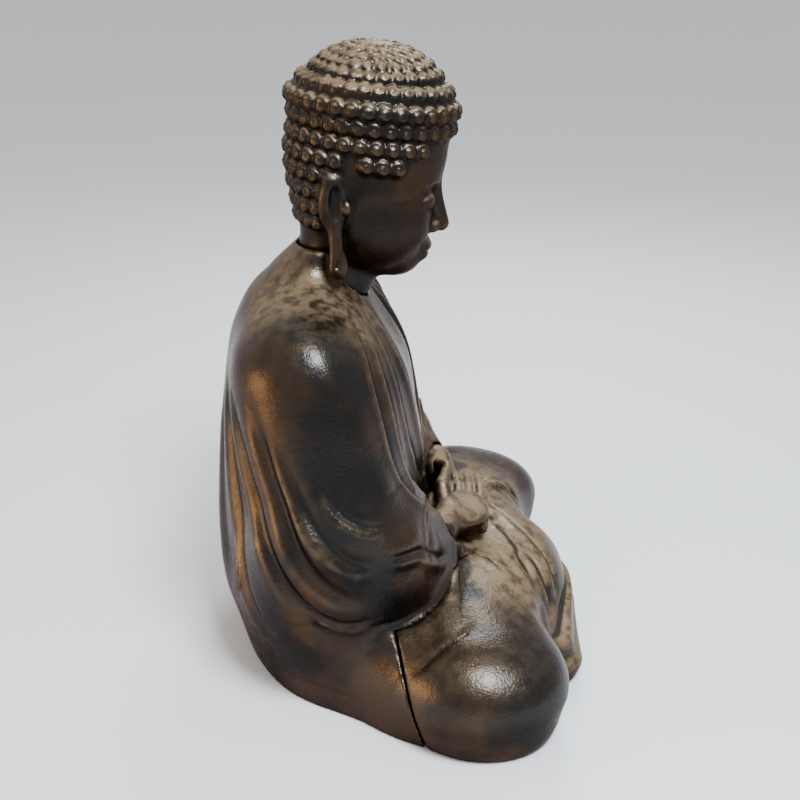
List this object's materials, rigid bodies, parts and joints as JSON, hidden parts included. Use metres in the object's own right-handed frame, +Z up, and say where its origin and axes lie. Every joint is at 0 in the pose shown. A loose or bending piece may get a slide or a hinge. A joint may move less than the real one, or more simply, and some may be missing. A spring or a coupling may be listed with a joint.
{
  "type": "seated buddha statue",
  "caption": "Small cast bronze seated Buddha in meditation: curled hair, robed torso, crossed legs, joined hands, closed hollow foot.",
  "frame": {"origin": "centre of the foot's outline, on the surface the statue stands on", "axes": "+Z up, the figure faces -Y, its left hand is on +X"},
  "size_m": [0.128, 0.0909, 0.1497],
  "materials": {
    "bronze": "dark brown patina, rubbed golden on high places",
    "brass": "plain",
    "steel": "plain",
    "felt": "felt"
  },
  "bodies": {
    "root": {"torso_casting": "bronze", "lap_casting": "bronze", "head_casting": "bronze", "crown_plug": "bronze", "hands_casting": "bronze", "hand_pins": "brass", "neck_stud": "steel", "neck_washer": "steel", "neck_nut": "steel", "lap_dowels": "steel", "lap_screws": "steel", "base_plate": "brass", "base_screws": "brass", "felt_pad": "felt"}
  },
  "joints": []
}
